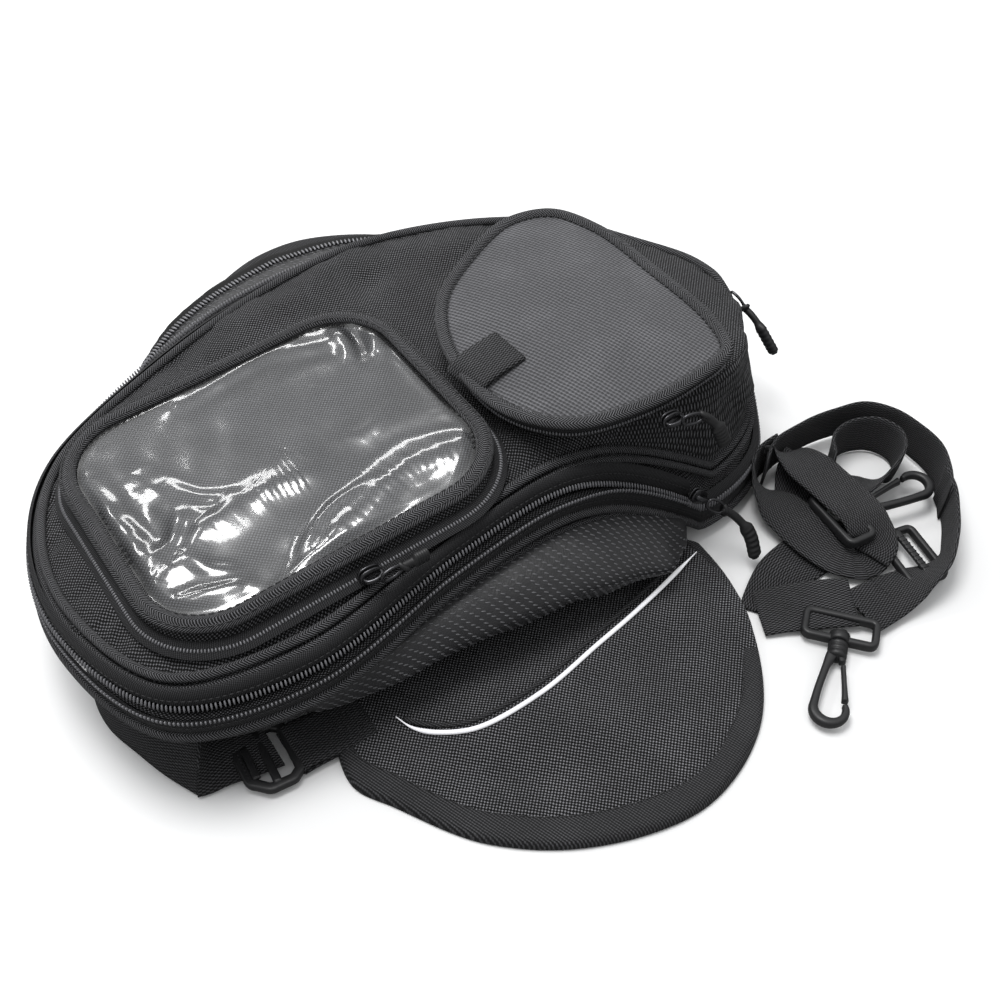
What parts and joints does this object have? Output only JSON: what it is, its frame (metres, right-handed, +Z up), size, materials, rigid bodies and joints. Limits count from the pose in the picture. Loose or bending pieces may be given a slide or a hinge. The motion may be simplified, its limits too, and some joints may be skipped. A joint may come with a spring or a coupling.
{
  "type": "motorcycle tank bag",
  "caption": "Soft tank bag with a zipped main lid, a clear map pocket, a rounded top pocket, padded side pods, magnetic side flaps, and a shoulder strap with swivel hooks.",
  "frame": {"origin": "on the underside of the base pad, on the floor plane, near the middle of the bag's length", "axes": "+X towards the nose of the bag, +Y to its left side (the far side), +Z up"},
  "size_m": [0.4062, 0.4294, 0.1094],
  "materials": {
    "shell_fabric": "coarse textured polyester, matt",
    "lid_fabric": "ribbed polyester, slightly lighter, matt",
    "pod_vinyl": "embossed vinyl, low sheen",
    "binding": "herringbone tape over piping, matt",
    "zip_coil": "moulded coil and woven tape",
    "webbing": "woven strap, matt",
    "hardware_plastic": "moulded, fine texture",
    "slider_metal": "dark enamelled",
    "pull_rubber": "matt, ribbed",
    "window_film": "clear flexible sheet, glossy",
    "reflective": "light grey, glossy",
    "board": "plain sheet",
    "magnet_steel": "plain",
    "base_rubber": "soft, non-slip",
    "lining": "smooth woven lining"
  },
  "bodies": {
    "tub": {"tub_shell": "shell_fabric", "base_pad": "base_rubber", "base_board": "board", "tub_piping": "binding", "tub_zip_row": "zip_coil", "near_pod": "pod_vinyl", "far_pod": "pod_vinyl", "near_skirt": "shell_fabric", "far_skirt": "shell_fabric", "rear_strap": "webbing", "rear_anchor_tab": "webbing"},
    "main_lid": {"lid_shell": "shell_fabric", "lid_piping": "binding", "lid_zip_row": "zip_coil", "map_pocket_tray": "shell_fabric", "map_zip_row": "zip_coil", "top_pocket_tray": "shell_fabric", "top_zip_row": "zip_coil"},
    "map_lid": {"map_lid_backing": "lining", "map_lid_frame": "binding", "map_lid_window": "window_film"},
    "top_lid": {"top_lid_panel": "lid_fabric", "top_lid_piping": "binding", "top_lid_tab": "webbing"},
    "near_flap": {"near_flap_lining": "lining", "near_flap_cover": "shell_fabric", "near_magnet_1": "magnet_steel", "near_magnet_2": "magnet_steel", "near_magnet_3": "magnet_steel", "near_reflective_piping": "reflective"},
    "far_flap": {"far_flap_lining": "lining", "far_flap_cover": "shell_fabric", "far_magnet_1": "magnet_steel", "far_magnet_2": "magnet_steel", "far_magnet_3": "magnet_steel", "far_reflective_piping": "reflective"},
    "strap": {"shoulder_strap": "webbing", "strap_loop_1": "hardware_plastic", "strap_loop_2": "hardware_plastic"},
    "near_main_slider": {"near_main_slider": "slider_metal"},
    "far_main_slider": {"far_main_slider": "slider_metal"},
    "map_slider": {"map_slider": "slider_metal"},
    "top_slider": {"top_slider": "slider_metal"},
    "near_main_pull": {"near_main_pull": "pull_rubber"},
    "far_main_pull": {"far_main_pull": "pull_rubber"},
    "map_pull": {"map_pull": "pull_rubber"},
    "top_pull": {"top_pull": "pull_rubber"},
    "rear_buckle": {"rear_buckle": "hardware_plastic"},
    "triglide": {"triglide": "hardware_plastic"},
    "snap_hook_1": {"snap_hook_1": "hardware_plastic"},
    "snap_hook_2": {"snap_hook_2": "hardware_plastic"},
    "hook_gate_1": {"hook_gate_1": "hardware_plastic"},
    "hook_gate_2": {"hook_gate_2": "hardware_plastic"}
  },
  "joints": [
    {"name": "main_lid_hinge", "type": "hinge", "parent": "tub", "child": "main_lid", "pos_m": [0.143, 0, 0.061], "axis": [0, 1, 0], "range_deg": [0, 75]},
    {"name": "map_lid_hinge", "type": "hinge", "parent": "main_lid", "child": "map_lid", "pos_m": [-0.0179, -0.03, 0.0969], "axis": [0, 1, 0], "range_deg": [0, 80]},
    {"name": "top_lid_hinge", "type": "hinge", "parent": "main_lid", "child": "top_lid", "pos_m": [0.0955, -0.038, 0.1098], "axis": [0, 1, 0], "range_deg": [0, 90]},
    {"name": "near_flap_fold", "type": "hinge", "parent": "tub", "child": "near_flap", "pos_m": [-0.03, -0.133, 0.003], "axis": [-1, 0, 0], "range_deg": [-70, 50]},
    {"name": "far_flap_fold", "type": "hinge", "parent": "tub", "child": "far_flap", "pos_m": [0.005, 0.128, 0.003], "axis": [1, 0, 0], "range_deg": [-70, 50]},
    {"name": "near_main_zip", "type": "slide", "parent": "tub", "child": "near_main_slider", "axis": [-0.7425, 0.1003, 0.6623], "range_m": [0, 0.02]},
    {"name": "near_main_pull_swing", "type": "hinge", "parent": "near_main_slider", "child": "near_main_pull", "pos_m": [0.06981, -0.11885, 0.03614], "axis": [-0.6693, -0.0739, -0.7393], "range_deg": [0, 20]},
    {"name": "far_main_zip", "type": "slide", "parent": "tub", "child": "far_main_slider", "axis": [-0.0499, 0.9988, 0], "range_m": [0, 0.02]},
    {"name": "far_main_pull_swing", "type": "hinge", "parent": "far_main_slider", "child": "far_main_pull", "pos_m": [0.15586, -0.03167, 0.05815], "axis": [-0.0993, -0.005, 0.995], "range_deg": [0, 25]},
    {"name": "map_zip", "type": "slide", "parent": "main_lid", "child": "map_slider", "axis": [0.9976, 0, 0.0698], "range_m": [-0.035, 0.03]},
    {"name": "map_pull_swing", "type": "hinge", "parent": "map_slider", "child": "map_pull", "pos_m": [-0.09116, -0.1059, 0.08363], "axis": [0.0698, 0, -0.9976], "range_deg": [0, 60]},
    {"name": "top_zip", "type": "slide", "parent": "main_lid", "child": "top_slider", "axis": [0.9976, 0, 0.0698], "range_m": [-0.012, 0.012]},
    {"name": "top_pull_swing", "type": "hinge", "parent": "top_slider", "child": "top_pull", "pos_m": [0.04916, -0.11607, 0.09821], "axis": [0.0695, -0.0995, -0.9926], "range_deg": [0, 60]},
    {"name": "rear_buckle_swing", "type": "hinge", "parent": "tub", "child": "rear_buckle", "pos_m": [-0.14, -0.106, 0.0044], "axis": [-0.06, 0.9982, 0], "range_deg": [0, 14]},
    {"name": "strap_drag", "type": "slide", "parent": "tub", "child": "strap", "axis": [0.7071, -0.7071, 0], "range_m": [0, 0.1]},
    {"name": "triglide_slide", "type": "slide", "parent": "strap", "child": "triglide", "axis": [-0.9756, 0.2195, 0], "range_m": [-0.004, 0.004]},
    {"name": "hook_1_swivel", "type": "hinge", "parent": "strap", "child": "snap_hook_1", "pos_m": [0.08537, -0.19382, 0.0048], "axis": [-0.7714, -0.6364, 0], "continuous": true},
    {"name": "hook_2_swivel", "type": "hinge", "parent": "strap", "child": "snap_hook_2", "pos_m": [0.13796, -0.14671, 0.012], "axis": [0.9929, -0.1191, 0], "continuous": true},
    {"name": "hook_1_gate", "type": "hinge", "parent": "snap_hook_1", "child": "hook_gate_1", "pos_m": [0.07846, -0.20367, 0.0048], "axis": [0, 0, -1], "range_deg": [0, 20]},
    {"name": "hook_2_gate", "type": "hinge", "parent": "snap_hook_2", "child": "hook_gate_2", "pos_m": [0.14986, -0.14492, 0.012], "axis": [0, 0, -1], "range_deg": [0, 20]}
  ]
}
